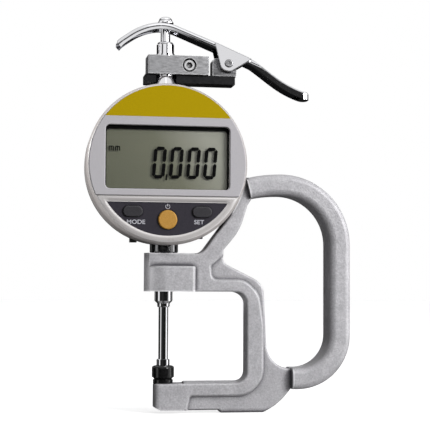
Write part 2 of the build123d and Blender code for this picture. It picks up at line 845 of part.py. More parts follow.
def block_screw():
    z = block_screw_z()
    head_front = -block_depth / 2 + 0.3
    seat = -block_depth / 2 + 3.4
    screw = cross_rod(block_screw_head_d, head_front, seat, block_screw_x, z)
    screw = chamfer([e for e in screw.edges() if at_depth(head_front)(e)], 0.3)
    screw += cross_rod(3.0, seat, block_depth / 2 - 1.4, block_screw_x, z)
    key = Pos(block_screw_x, z) * RegularPolygon(1.3, 6, major_radius=False)
    return screw - slab(key, head_front - 1, head_front + 1.8)


def base_plate():
    """Under the block; it reaches out to carry the hinge, with a notch for the stem."""
    low = block_z - plate_thickness
    plate = box_between(-plate_left, plate_right, -plate_front, block_depth / 2, low, block_z)
    plate = chamfer(plate.edges().filter_by(Axis.Z), 0.5)
    stem_r = upper_stem_d / 2 + seat_gap
    plate -= rod(2 * stem_r, low - 1, block_z + 1) + stem_flare(clear_gap)
    return plate - box_between(-stem_r, stem_r, -block_depth, 0, low - 1, block_z + 1)


def hinge_block():
    top = block_z + hinge_height
    side = face_of([
        (hinge_left, block_z, 0),
        (hinge_left, top, 1.6),
        (hinge_right, top, 3.0),
        (hinge_right, block_z, 0),
    ])
    block = level_slab(side, hinge_width)
    return block - cross_rod(pin_d + 2 * seat_gap, -hinge_width, hinge_width, pivot_x, pivot_z)


def hinge_pin():
    half = lever_width / 2 + ear_sheet + running_gap
    pin = cross_rod(pin_d, -half, half, pivot_x, pivot_z)
    for side in (-1, 1):
        outer = side * (half + pin_head_height)
        front = min(side * half, outer)
        head = cross_rod(pin_head_d, front, front + pin_head_height, pivot_x, pivot_z)
        head = rounded(head, 0.3, at_depth(outer))
        pin += head - cross_rod(1.4, min(outer, outer - side * 0.3),
                                max(outer, outer - side * 0.3), pivot_x, pivot_z)
    return pin


# Lever: its fork is an involute about the pivot, so the nut's lift stays in step with it
def involute(angle, inset):
    reach = lift_height + lever_ratio * angle - inset
    x = -lever_ratio * cos(angle) - reach * sin(angle)
    z = -lever_ratio * sin(angle) + reach * cos(angle)
    return pivot_x + x, pivot_z + z


def lever_line(inset):
    """The channel's upper line, from the fork's tips to the thumb end, moved in."""
    steps = 6
    fork = [involute(fork_angle * (1 - i / steps), inset) for i in range(steps + 1)]
    crest_x, crest_z = fork[-1]
    slope = (crest_x + 6.6, crest_z - 1.2)
    z = pivot_z - 1.1 * inset
    knee = (pivot_x - 6.2, z + 10.0)
    heel = (pivot_x + 11.2, z + 2.4)
    waist = (pivot_x + 26.3, z - 8.0)
    pad = (pivot_x + 33.0, z - 11.0)
    end = (pivot_x + 37.6, z - 11.8)
    lines = [
        Spline(fork, tangents=[(2, 3), (1, 0)]),
        TangentArc(fork[-1], slope, tangent=(1, 0)),
        Polyline(slope, knee, heel),
        Spline(heel, waist, pad, end, tangents=[(3, -2), (3, 0)]),
    ]
    return Wire([edge for line in lines for edge in line.edges()])


def lever_band(outer, inner):
    """The side view between two insets of the upper line."""
    top = lever_line(outer)
    low = lever_line(inner)
    ends = [Line(top @ 0, low @ 0), Line(top @ 1, low @ 1)]
    return make_face([*top.edges(), *low.edges(), *[end.edge() for end in ends]])


def lever_channel():
    """The pressed channel: a flat top with two bent flanges, rounded at the thumb end."""
    half = lever_width / 2
    channel = level_slab(lever_band(0, lever_depth), lever_width)
    channel = fillet(channel.edges().filter_by(Axis.Z).sort_by(Axis.X)[-2:], 3.4)
    crease = [Plane.XZ.offset(y) * lever_line(0) for y in (-half, half)]

    def on_crease(edge):
        return min(line.distance_to(Vertex(edge @ 0.5)) for line in crease) < 0.01

    fork_end = spindle_d
    channel = rounded(channel, fork_bend_r, lambda e: on_crease(e) and e.center().X < fork_end)
    channel = rounded(channel, arm_bend_r, lambda e: on_crease(e) and e.center().X > fork_end)
    hollow = level_slab(lever_band(lever_sheet, lever_depth + 2), lever_width - 2 * lever_sheet)
    thumb_x = pivot_x + 33.5
    return channel - (hollow & box_between(-dial_r, thumb_x, -half, half, 0, 2 * dial_z))


def lever_ear(side):
    """A hinge ear: a triangle rounded about the pivot, leaning in towards its top."""
    half = lever_width / 2
    face = face_of([
        (pivot_x - 6.4, pivot_z + 9.5, 0.4),
        (pivot_x + 11.0, pivot_z + 2.0, 0.4),
        (pivot_x + 0.9, pivot_z - 4.3, ear_r),
        (pivot_x - 3.3, pivot_z - 3.5, ear_r),
    ])
    ear = slab(face, -half - ear_sheet, -half + lever_sheet)
    ear = rounded(ear, 0.4, at_depth(-half - ear_sheet))
    hinge = Pos(0, 0, pivot_z)
    ear = hinge * Rot(-ear_lean, 0, 0) * hinge.inverse() * ear
    ear -= cross_rod(pin_head_d + 0.4, -half - 3, -half - ear_sheet, pivot_x, pivot_z)
    return ear if side < 0 else mirror(ear, about=Plane.XZ)


def lever():
    half = lever_width / 2
    slot_end = pivot_x - lever_ratio + 9.2
    slot = Pos(slot_end - dial_r, 0) * SlotOverall(2 * dial_r, fork_slot_width)
    body = lever_channel() - extrude(Plane.XY * slot, amount=2 * dial_z)
    body -= box_between(-dial_r, fork_tip_x, -half, half, 0, 2 * dial_z)
    body += lever_ear(-1) + lever_ear(1)
    body -= level_slab(Pos(pivot_x, pivot_z) * Circle(4.6), lever_width - 2 * lever_sheet)
    return body - cross_rod(pin_d + 2 * running_gap, -2 * half, 2 * half, pivot_x, pivot_z)


parts = {
    "frame_casting": frame_casting(),
    "clamp_shoe": clamp_shoe(),
    "clamp_screw": clamp_screw(),
    "anvil": anvil(),
    "contact_point": contact_point(),
    "contact_ring": contact_ring(),
    "spindle": spindle(),
    "lift_nut": lift_nut(),
    "stem": stem(),
    "stem_bush": bush(nose_z + 0.6),
    "stem_collar": stem_collar(),
    "upper_stem": upper_stem(),
    "upper_bush": bush(upper_stem_z + upper_stem_length - bush_length),
    "cap_washer": cap_washer(),
    "guide_cap": guide_cap(),
    "indicator_case": indicator_case(),
    "face_panel": face_panel(),
    "name_plate": name_plate(),
    "window_glass": window_glass(),
    "display_module": display_module(),
    "keypad_panel": keypad_panel(),
    "mode_button": button(0, 0.5),
    "set_button": button(1, 0.5),
    "power_button": button(2, 0.6),
    "key_switches": key_switches(),
    "circuit_board": circuit_board(),
    "guide_pin": guide_pin(),
    "scale_carrier": scale_carrier(),
    "encoder_scale": encoder_scale(),
    "encoder_head": encoder_head(),
    "spindle_spring": spindle_spring(),
    "case_gasket": case_gasket(),
    "rear_housing": rear_housing(),
    "back_plate": back_plate(),
    "back_screws": back_screws(),
    "battery": battery(),
    "battery_cover": battery_cover(),
    "clamp_block": clamp_block(),
    "block_screw": block_screw(),
    "base_plate": base_plate(),
    "hinge_block": hinge_block(),
    "hinge_pin": hinge_pin(),
    "lever": lever(),
}

os.makedirs("parts", exist_ok=True)
for name, shape in parts.items():
    export_step(shape, f"parts/{name}.step")
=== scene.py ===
# %% [markdown]
# # Digital thickness gauge
# The CAD model gives every metal and plastic piece its true shape. This script dresses it:
# finishes for each piece, the display's digits, the labels on the keypad, and a small
# studio. All sizes are in metres in the CAD's own frame: the origin is on the spindle axis
# at the underside of the anvil arm, +X towards the grip, +Z up, and the display faces -Y.

import bpy
from math import cos, pi, radians, sin
from mathutils import Matrix, Vector


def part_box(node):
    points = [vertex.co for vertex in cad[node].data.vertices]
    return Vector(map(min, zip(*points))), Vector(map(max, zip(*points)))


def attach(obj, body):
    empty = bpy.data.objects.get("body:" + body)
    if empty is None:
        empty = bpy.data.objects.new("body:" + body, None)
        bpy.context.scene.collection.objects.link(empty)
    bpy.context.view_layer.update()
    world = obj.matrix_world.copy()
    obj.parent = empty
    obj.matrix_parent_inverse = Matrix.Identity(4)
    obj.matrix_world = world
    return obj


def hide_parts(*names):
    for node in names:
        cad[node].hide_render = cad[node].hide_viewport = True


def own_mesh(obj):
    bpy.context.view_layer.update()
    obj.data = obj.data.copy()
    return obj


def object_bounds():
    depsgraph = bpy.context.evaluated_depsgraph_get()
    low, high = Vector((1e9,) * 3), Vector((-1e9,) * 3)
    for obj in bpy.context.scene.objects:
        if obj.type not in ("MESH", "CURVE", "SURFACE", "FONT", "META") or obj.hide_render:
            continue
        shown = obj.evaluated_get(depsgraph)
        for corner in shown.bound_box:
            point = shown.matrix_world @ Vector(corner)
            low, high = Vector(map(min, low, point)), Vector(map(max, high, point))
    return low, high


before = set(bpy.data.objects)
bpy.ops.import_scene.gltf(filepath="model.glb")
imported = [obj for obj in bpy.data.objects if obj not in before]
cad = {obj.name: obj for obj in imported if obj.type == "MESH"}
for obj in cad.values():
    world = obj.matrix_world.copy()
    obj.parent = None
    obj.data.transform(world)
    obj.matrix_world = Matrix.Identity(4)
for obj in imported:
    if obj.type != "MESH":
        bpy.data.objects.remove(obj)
cad_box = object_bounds()
mm = 0.001
print("CAD nodes:", len(cad))
print("CAD box in mm:", [tuple(round(c / mm, 1) for c in corner) for corner in cad_box])

# %% [markdown]
# ## Camera
# The photograph looks slightly up at the gauge and from its left, with a long lens. The
# camera stands a little over half a metre away, level with the throat. Its lens is given by
# the focal length in pixels of the 430-pixel frame, and a slight roll matches the tilt.

# %% Camera
photo_side = 430
focal_pixels = 1250
camera_place = Vector((-69.5, -552.9, 55.3)) * mm
camera_azimuth = radians(-9.5)
camera_rise = radians(3.2)
camera_roll = radians(0.3)

camera_data = bpy.data.cameras.new("camera")
camera = bpy.data.objects.new("camera", camera_data)
bpy.context.scene.collection.objects.link(camera)
camera_data.sensor_width = 36.0
camera_data.lens = 36.0 * focal_pixels / photo_side
camera_data.clip_start = 0.01
look = Vector((-sin(camera_azimuth) * cos(camera_rise),
               cos(camera_azimuth) * cos(camera_rise), sin(camera_rise)))
aim = look.to_track_quat("-Z", "Y").to_matrix()
camera.matrix_world = (Matrix.Translation(camera_place)
                       @ (aim @ Matrix.Rotation(camera_roll, 3, "Z")).to_4x4())
bpy.context.scene.camera = camera
print("lens in mm:", round(camera_data.lens, 1))

# %% [markdown]
# ## Studio
# A product photograph on white. It starts with one large pale floor. The camera sees the
# floor bright and plain. For light that bounces it is darker, so that it doesn't fill the
# shadows from below, and in polished metal it isn't mirrored at all.

# %% Studio floor
lowest = cad_box[0].z
floor_side = 8.0
floor_gap = 0.2 * mm


def deselect():
    """Back to object mode, with nothing selected."""
    if bpy.context.object and bpy.context.object.mode != "OBJECT":
        bpy.ops.object.mode_set(mode="OBJECT")
    bpy.ops.object.select_all(action="DESELECT")


def new_material(name):
    """A material with its node tree, links and main shader."""
    material = bpy.data.materials.new(name)
    material.use_nodes = True
    tree = material.node_tree
    return material, tree.nodes, tree.links, tree.nodes["Principled BSDF"]


deselect()
bpy.ops.mesh.primitive_grid_add(x_subdivisions=4, y_subdivisions=4, size=floor_side,
                                location=(0, 0, lowest - floor_gap))
floor = bpy.context.object
floor.name = "studio_floor"
floor_material, nodes, links, shader = new_material("studio_floor")
shader.inputs["Base Color"].default_value = (0.80, 0.80, 0.80, 1)
shader.inputs["Roughness"].default_value = 0.9
glow = nodes.new("ShaderNodeEmission")
glow.inputs["Strength"].default_value = 0.76
lit = nodes.new("ShaderNodeAddShader")
links.new(shader.outputs["BSDF"], lit.inputs[0])
links.new(glow.outputs["Emission"], lit.inputs[1])
dim = nodes.new("ShaderNodeBsdfDiffuse")
dim.inputs["Color"].default_value = (0.30, 0.30, 0.30, 1)
rays = nodes.new("ShaderNodeLightPath")
seen = nodes.new("ShaderNodeMixShader")
links.new(rays.outputs["Is Camera Ray"], seen.inputs["Fac"])
links.new(dim.outputs["BSDF"], seen.inputs[1])
links.new(lit.outputs["Shader"], seen.inputs[2])
mirrored = nodes.new("ShaderNodeMixShader")
links.new(rays.outputs["Is Glossy Ray"], mirrored.inputs["Fac"])
links.new(seen.outputs["Shader"], mirrored.inputs[1])
links.new(nodes.new("ShaderNodeBsdfTransparent").outputs["BSDF"], mirrored.inputs[2])
links.new(mirrored.outputs["Shader"], nodes["Material Output"].inputs["Surface"])
floor.data.materials.append(floor_material)
print("floor level in mm:", round(lowest / mm, 2))

# %% [markdown]
# In the photograph no shadow on the gauge has a hard edge. A sun or point lamps would be
# simpler, but give hard shadows and pinpoint glints, so each general light is a rectangular
# panel aimed at the middle of the gauge. The front light stands to the right and does most
# of the work. The top light and the right light only fill.

# %% General lights


def aimed(data, place, target):
    """Put a lamp in its place and turn it to its target."""
    lamp = bpy.data.objects.new(data.name, data)
    bpy.context.scene.collection.objects.link(lamp)
    lamp.location = place
    lamp.rotation_mode = "QUATERNION"
    lamp.rotation_quaternion = (Vector(target) - Vector(place)).to_track_quat("-Z", "Y")
    return lamp


def soft_light(name, place, size, power, tall=None):
    """A rectangular panel aimed at the middle of the gauge."""
    data = bpy.data.lights.new(name, "AREA")
    data.energy = power
    data.shape = "RECTANGLE"
    data.size = size
    data.size_y = tall or size
    return aimed(data, place, middle)


middle = (cad_box[0] + cad_box[1]) / 2
soft_light("top_light", (0.15, -0.30, 1.00), 0.6, 0.5)
soft_light("front_light", (0.80, -0.88, 0.42), 0.45, 10.4)
soft_light("right_light", (0.95, -0.10, 0.30), 0.30, 2.2, tall=0.9)
print("general lights aim at, in mm:", [round(c / mm, 1) for c in middle])

# %% [markdown]
# The left stays without a general light, because the faces that look left are dark in the
# photograph. A few pieces there still need some. A lamp's receiver collection holds the
# only pieces that it lights, which is simpler than walls that keep its light off the rest.
# The case light shines on the indicator's case and its rear ring, and a narrow spot reaches
# the left end of the clamp boss. The back light serves the views from behind, and isn't
# mirrored in the chrome.

# %% Lights for single pieces


def lights_only(lamp, *names):
    """Let a lamp shine on a few CAD nodes and on nothing else."""
    group = bpy.data.collections.new(lamp.name + "_group")
    for name in names:
        group.objects.link(cad[name])
    lamp.light_linking.receiver_collection = group


boss_end = Vector((-12.0, 0.0, 56.0)) * mm
spot_place = Vector((-300.0, -40.0, 60.0)) * mm
back_light = soft_light("back_light", (0.35, 1.20, 0.30), 0.5, 10.0)
back_light.visible_glossy = False
lights_only(back_light, "frame_casting", "rear_housing", "back_plate", "battery_cover",
            "back_screws", "anvil", "clamp_screw")
case_light = soft_light("case_light", (-1.00, -0.20, 0.45), 0.30, 13.0)
lights_only(case_light, "indicator_case", "rear_housing")
boss_spot = bpy.data.lights.new("boss_light", "SPOT")
boss_spot.energy = 0.9
boss_spot.spot_size = radians(5.5)
boss_spot.spot_blend = 0.6
lights_only(aimed(boss_spot, spot_place, boss_end), "frame_casting")

# %% [markdown]
# ## Surround
# The surround does three jobs. The camera sees plain white. Dull surfaces get a soft light
# that comes mostly from the front and the right. Polished metal sees a dark room with
# bright strips, because chrome has no colour of its own: without something dark and
# something bright around it, a rod doesn't look like chrome. A picture of a studio could do
# this, but a few nodes let each strip be moved to where the photograph shows its
# reflection. Each kind of node gets a small helper first.

# %% Helpers for the surround
world = bpy.data.worlds.new("surround")
bpy.context.scene.world = world
world.use_nodes = True
nodes, links = world.node_tree.nodes, world.node_tree.links
nodes.clear()


def background(strength=None, colour=(1, 1, 1, 1)):
    """A plain light from all round."""
    node = nodes.new("ShaderNodeBackground")
    node.inputs["Color"].default_value = colour
    if strength is not None:
        node.inputs["Strength"].default_value = strength
    return node


def chosen(factor, off, on):
    """The first shader, or the second where the factor is one."""
    node = nodes.new("ShaderNodeMixShader")
    links.new(factor, node.inputs["Fac"])
    links.new(off, node.inputs[1])
    links.new(on, node.inputs[2])
    return node.outputs["Shader"]


def feed(socket, value):
    """Set a socket to a number, or link it to another socket."""
    if isinstance(value, (int, float)):
        socket.default_value = value
    else:
        links.new(value, socket)


def figure(operation, *values):
    """A Math node fed with sockets or numbers."""
    node = nodes.new("ShaderNodeMath")
    node.operation = operation
    for socket, value in zip(node.inputs, values):
        feed(socket, value)
    return node.outputs[0]


def faded(value, low, high):
    """Zero below the low value, one above the high one, smooth between them."""
    node = nodes.new("ShaderNodeMapRange")
    node.interpolation_type = "SMOOTHSTEP"
    node.inputs["From Min"].default_value = low
    node.inputs["From Max"].default_value = high
    links.new(value, node.inputs["Value"])
    return node.outputs["Result"]


def blended(factor, low, high):
    """One brightness where the factor is zero, another where it is one."""
    node = nodes.new("ShaderNodeMix")
    node.data_type = "FLOAT"
    links.new(factor, node.inputs["Factor"])
    feed(node.inputs["A"], low)
    feed(node.inputs["B"], high)
    return node.outputs["Result"]


def shades(nodes, links, factor, *stops):
    """A colour ramp: each stop is a position and a colour."""
    ramp = nodes.new("ShaderNodeValToRGB")
    elements = ramp.color_ramp.elements
    while len(elements) < len(stops):
        elements.new(0.5)
    for element, (position, colour) in zip(elements, stops):
        element.position = position
        element.color = (*colour, 1)
    links.new(factor, ramp.inputs["Fac"])
    return ramp.outputs["Color"]


def strips(bearing, stops):
    """Brightness by bearing in degrees, as a ramp of greys."""
    greys = [(0.5 + degrees_right / 360, (level,) * 3) for degrees_right, level in stops]
    return shades(nodes, links, bearing, *greys)


print("surround starts with", len(nodes), "nodes")

# %% [markdown]
# The strips of the room are placed by bearing, measured from straight in front and positive
# to the right. Up to a little above level there are narrow strips, which make the bright
# and dark lines on the upright rods. Higher up there is a wide bright panel just left of
# the middle. Above that come a bright band, a dark one and a bright ceiling.

# %% Room for polished metal
direction = nodes.new("ShaderNodeSeparateXYZ")
toward = nodes.new("ShaderNodeTexCoord").outputs["Generated"]
links.new(toward, direction.inputs["Vector"])
angle = figure("ARCTAN2", direction.outputs["X"], figure("MULTIPLY", direction.outputs["Y"], -1))
bearing = figure("MULTIPLY_ADD", angle, 1 / (2 * pi), 0.5)
height = direction.outputs["Z"]
low_room = strips(bearing, [
    (-150, 0.01), (-135, 0.30), (-120, 0.01), (-84, 0.01), (-76, 1.0), (-62, 1.0),
    (-54, 0.01), (-14, 0.03), (0, 0.01), (50, 0.01), (58, 0.9), (72, 0.9), (80, 0.02),
    (112, 0.01), (128, 0.35), (145, 0.01),
])
high_room = strips(bearing, [
    (-112, 0.01), (-100, 1.0), (-60, 1.0), (-52, 0.02), (-42, 0.02), (-32, 1.0), (7.2, 1.0),
    (8.0, 0.03), (30, 0.02), (44, 0.45), (60, 1.0), (100, 1.0), (112, 0.01),
])
room_level = blended(faded(height, 0.07, 0.15), low_room, high_room)
room_level = blended(faded(height, 0.215, 0.25), room_level, 0.95)
room_level = blended(faded(height, 0.34, 0.42), room_level, 0.10)
room_level = blended(faded(height, 0.62, 0.72), room_level, 0.95)
room = background()
links.new(room_level, room.inputs["Strength"])
print("room for polished metal:", len(nodes), "nodes")

# %% [markdown]
# The soft light for dull surfaces is brightest from the front and the right and almost
# nothing from behind, so it needs only the direction's share along one line. The kind of
# ray then chooses which of the three a surface or the camera sees. The view transform is
# Standard, so that the white stays white.

# %% Soft light and the choice
side = nodes.new("ShaderNodeVectorMath")
side.operation = "DOT_PRODUCT"
links.new(toward, side.inputs[0])
side.inputs[1].default_value = (0.63, -0.77, 0.10)
soft = background(colour=(0.98, 0.98, 1, 1))
links.new(blended(faded(side.outputs["Value"], -0.10, 1.0), 0.015, 0.95), soft.inputs["Strength"])
rays = nodes.new("ShaderNodeLightPath")
plain = background(1.0)
surround = chosen(rays.outputs["Is Glossy Ray"], soft.outputs[0], room.outputs[0])
surround = chosen(rays.outputs["Is Camera Ray"], surround, plain.outputs[0])
links.new(surround, nodes.new("ShaderNodeOutputWorld").inputs["Surface"])
bpy.context.scene.view_settings.view_transform = "Standard"
print("surround:", len(nodes), "nodes")

# %% [markdown]
# ## Building blocks for the finishes
# Every finish is a Principled shader with a little life in it: fine noise that varies the
# colour and the roughness, and a bump of the right grain. Pictures of real surfaces could
# do this too, but they need an unwrapped surface, and noise needs none. The noise reads
# Object coordinates, which are metres here, so a scale of 1000 makes grains of about a
# millimetre.

# %% Helpers for materials


def coordinates(nodes):
    """The place on the piece, in metres."""
    return nodes.new("ShaderNodeTexCoord").outputs["Object"]


def noise(nodes, links, scale, detail=3.0, roughness=0.5, stretch=None):
    """A noise pattern, stretched where a real surface was ground or drawn one way."""
    texture = nodes.new("ShaderNodeTexNoise")
    texture.inputs["Scale"].default_value = scale
    texture.inputs["Detail"].default_value = detail
    texture.inputs["Roughness"].default_value = roughness
    source = coordinates(nodes)
    if stretch:
        mapping = nodes.new("ShaderNodeMapping")
        mapping.inputs["Scale"].default_value = stretch
        links.new(source, mapping.inputs["Vector"])
        source = mapping.outputs["Vector"]
    links.new(source, texture.inputs["Vector"])
    return texture.outputs["Fac"]


def between(nodes, links, factor, low, high, from_low=0.35, from_high=0.65):
    """Map a pattern's middle range to a range of values."""
    node = nodes.new("ShaderNodeMapRange")
    node.inputs["From Min"].default_value = from_low
    node.inputs["From Max"].default_value = from_high
    node.inputs["To Min"].default_value = low
    node.inputs["To Max"].default_value = high
    links.new(factor, node.inputs["Value"])
    return node.outputs["Result"]


def product(nodes, links, first, second):
    """Two factors multiplied."""
    node = nodes.new("ShaderNodeMath")
    node.operation = "MULTIPLY"
    links.new(first, node.inputs[0])
    links.new(second, node.inputs[1])
    return node.outputs[0]


def bumps(nodes, links, shader, factor, height, strength=0.5):
    """Relief from a pattern; the height is in metres."""
    node = nodes.new("ShaderNodeBump")
    node.inputs["Strength"].default_value = strength
    node.inputs["Distance"].default_value = height
    links.new(factor, node.inputs["Height"])
    links.new(node.outputs["Normal"], shader.inputs["Normal"])


def finish(name, dark, light, grain, gloss, gloss_grain=None, metal=0.0, shine=None,
           detail=3.0):
    """Two near colours in a fine pattern, and one roughness or two that a pattern mixes."""
    material, nodes, links, shader = new_material(name)
    links.new(shades(nodes, links, noise(nodes, links, grain, detail), (0.3, dark),
                     (0.7, light)), shader.inputs["Base Color"])
    shader.inputs["Metallic"].default_value = metal
    if gloss_grain:
        links.new(between(nodes, links, noise(nodes, links, gloss_grain, detail), *gloss),
                  shader.inputs["Roughness"])
    else:
        shader.inputs["Roughness"].default_value = gloss
    if shine is not None:
        shader.inputs["Specular IOR Level"].default_value = shine
    return material


def dress(material, *names):
    """Give CAD nodes a material."""
    for name in names:
        for slot in cad[name].material_slots:
            slot.material = material
    print(material.name, "on", len(names), "nodes")


# %% [markdown]
# Shade falls into creases, and light catches the outside edges. Both are painted into the
# colours here. They could be painted on by hand, but an Ambient Occlusion node finds them
# on any shape. It measures how open a surface is, and when it looks inwards it finds the
# outside edges. A second helper blends two colours by that measure.

# %% Helpers for creases and edges


def nearness(nodes, distance, inside):
    """How open a surface is: low in creases, or low at outside edges when inside."""
    node = nodes.new("ShaderNodeAmbientOcclusion")
    node.samples = 8
    node.inside = inside
    node.inputs["Distance"].default_value = distance
    return node.outputs["AO"]


def mixed(nodes, links, factor, first, second):
    """Blend two colours by a factor; a colour may be a socket or three numbers."""
    node = nodes.new("ShaderNodeMix")
    node.data_type = "RGBA"
    links.new(factor, node.inputs["Factor"])
    for socket, value in ((node.inputs[6], first), (node.inputs[7], second)):
        if isinstance(value, tuple):
            socket.default_value = (*value, 1)
        else:
            links.new(value, socket)
    return node.outputs[2]


# %% [markdown]
# ## Textured silver paint on the casting
# The frame is painted with a metallic paint over a sand-cast skin. It reads as light grey
# with a fine even speckle. The grain could be modelled, but at this size a bump is enough: a
# fine noise makes the sandy bumps and the flakes, and a slow one keeps the large faces from
# being dead flat. Shade is painted dark into the creases, and highlights are painted bright
# on the outside edges. Faces that look straight up get no painted edge highlight, since they
# stay dull under this lighting. Faces that look straight up are left out of the rubbed
# edges, since they are dull in the photograph.

# %% Frame paint
frame_paint, nodes, links, shader = new_material("frame_paint")
flake = noise(nodes, links, 1300, detail=4.0, roughness=0.65)
cloud = noise(nodes, links, 160, detail=3.0)
speckle = nodes.new("ShaderNodeMix")
speckle.data_type = "FLOAT"
speckle.inputs["Factor"].default_value = 0.30
links.new(flake, speckle.inputs["A"])
links.new(cloud, speckle.inputs["B"])
colour = shades(nodes, links, speckle.outputs["Result"], (0.32, (0.35, 0.344, 0.360)),
                (0.50, (0.47, 0.463, 0.482)), (0.68, (0.60, 0.594, 0.61)))
# Painted shade: the creases are darkened almost to black.
crease_shade = between(nodes, links, nearness(nodes, 2.4 * mm, False), 1.0, 0.0, 0.66, 0.975)
colour = mixed(nodes, links, crease_shade, colour, (0.055, 0.052, 0.062))
# Painted highlight: the outside edges are made bright, but not on faces that look straight up.
edge_highlight = between(nodes, links, nearness(nodes, 0.9 * mm, True), 0.90, 0.0, 0.62, 0.98)
facing = nodes.new("ShaderNodeSeparateXYZ")
links.new(nodes.new("ShaderNodeNewGeometry").outputs["True Normal"], facing.inputs["Vector"])
not_upward = between(nodes, links, facing.outputs["Z"], 1.0, 0.0, 0.50, 0.90)
colour = mixed(nodes, links, product(nodes, links, edge_highlight, not_upward), colour,
               (0.80, 0.795, 0.81))
links.new(colour, shader.inputs["Base Color"])
shader.inputs["Metallic"].default_value = 0.25
links.new(between(nodes, links, flake, 0.40, 0.58), shader.inputs["Roughness"])
bumps(nodes, links, shader, noise(nodes, links, 1100, detail=5.0, roughness=0.6),
      0.24 * mm, strength=0.45)
dress(frame_paint, "frame_casting")

# %% [markdown]
# ## Chrome, steel and black oxide
# The spindle, stems, cap, nut and lever are plated: a mirror with very faint wipe marks. A
# metal of one low roughness would do, but looks too clean, so a slow noise varies the gloss
# a little. What makes it look like chrome is the room that it mirrors. The collar under the
# case is plated too, but dark.

# %% Chrome plate


def plated(name, colour, grain, detail, gloss):
    """A mirror of one colour, with faint wipe marks in its gloss."""
    material, nodes, links, shader = new_material(name)
    shader.inputs["Base Color"].default_value = (*colour, 1)
    shader.inputs["Metallic"].default_value = 1.0
    links.new(between(nodes, links, noise(nodes, links, grain, detail), *gloss),
              shader.inputs["Roughness"])
    return material


chrome = plated("chrome_plate", (0.80, 0.80, 0.82), 400, 4.0, (0.03, 0.07))
dress(chrome, "spindle", "stem", "upper_stem", "cap_washer", "guide_cap",
      "lift_nut", "contact_ring")
lever_plate = plated("lever_plate", (0.74, 0.74, 0.76), 500, 5.0, (0.03, 0.06))
dress(lever_plate, "lever")
black_plate = finish("black_plate", (0.16, 0.16, 0.165), (0.24, 0.24, 0.245), 700,
                     (0.08, 0.16), 500, metal=1.0, detail=4.0)
dress(black_plate, "stem_collar")

# %% [markdown]
# The clamp block is ground steel with fine scratches along X, and so is the hinge block,
# which is darker. An anisotropic gloss could suggest them, but a noise that is stretched
# along X shows the scratches themselves, in the colour, the gloss and the relief.

# %% Ground steel


def ground(name, dark, light):
    """Ground steel: fine scratches along X in its colour, gloss and relief, painted edge
    highlights.
    """
    material, nodes, links, shader = new_material(name)
    scratches = noise(nodes, links, 1500, detail=6.0, stretch=(0.25, 1.0, 1.6))
    colour = shades(nodes, links, scratches, (0.35, dark), (0.65, light))
    # Painted highlight on the outside edges.
    edge_highlight = between(nodes, links, nearness(nodes, 0.5 * mm, True), 0.8, 0.0, 0.55, 0.95)
    links.new(mixed(nodes, links, edge_highlight, colour, (0.85, 0.85, 0.86)),
              shader.inputs["Base Color"])
    shader.inputs["Metallic"].default_value = 0.9
    links.new(between(nodes, links, scratches, 0.28, 0.45), shader.inputs["Roughness"])
    bumps(nodes, links, shader, scratches, 0.03 * mm, strength=0.25)
    return material


ground_steel = ground("ground_steel", (0.38, 0.38, 0.392), (0.52, 0.52, 0.535))
dress(ground_steel, "clamp_block", "guide_pin", "scale_carrier")
dark_steel = ground("dark_steel", (0.16, 0.16, 0.165), (0.30, 0.30, 0.31))
dress(dark_steel, "hinge_block")

# %% [markdown]
# The screws and the hinge pin are turned steel, a little rougher than the plated pieces.
# The socket of the clamp block's screw is dark in the photograph. Its shadow alone leaves
# it too pale, so the same measure that finds creases takes the colour down to black.

# %% Turned steel
screw_steel = finish("screw_steel", (0.36, 0.36, 0.37), (0.55, 0.55, 0.56), 1600,
                     (0.2, 0.38), 700, metal=1.0)
dress(screw_steel, "hinge_pin", "back_screws", "battery", "spindle_spring")

screw_head, nodes, links, shader = new_material("screw_head")
turning = shades(nodes, links, noise(nodes, links, 1800), (0.3, (0.62, 0.62, 0.63)),
                 (0.7, (0.80, 0.80, 0.81)))
# Painted shade that takes the socket down to black.
socket_shade = between(nodes, links, nearness(nodes, 1.6 * mm, False), 1.0, 0.0, 0.48, 0.74)
links.new(mixed(nodes, links, socket_shade, turning, (0.02, 0.02, 0.02)),
          shader.inputs["Base Color"])
shader.inputs["Metallic"].default_value = 0.6
links.new(between(nodes, links, noise(nodes, links, 700), 0.30, 0.45),
          shader.inputs["Roughness"])
dress(screw_head, "block_screw")

# %% [markdown]
# The base plate of the bracket is blackened steel. The contact and the anvil, which touch
# the work, are polished black. They could share one finish, but the gloss tells them apart:
# the plate is satin and hardly shines, and the measuring faces catch small highlights.

# %% Black steel and the measuring faces
black_steel = finish("black_steel", (0.006, 0.006, 0.007), (0.014, 0.014, 0.016), 1200,
                     (0.30, 0.48), 600, shine=0.2)
dress(black_steel, "base_plate", "clamp_screw")
contact_black = finish("contact_black", (0.004, 0.004, 0.004), (0.010, 0.010, 0.010), 800,
                       (0.12, 0.24), 900)
dress(contact_black, "contact_point", "anvil")
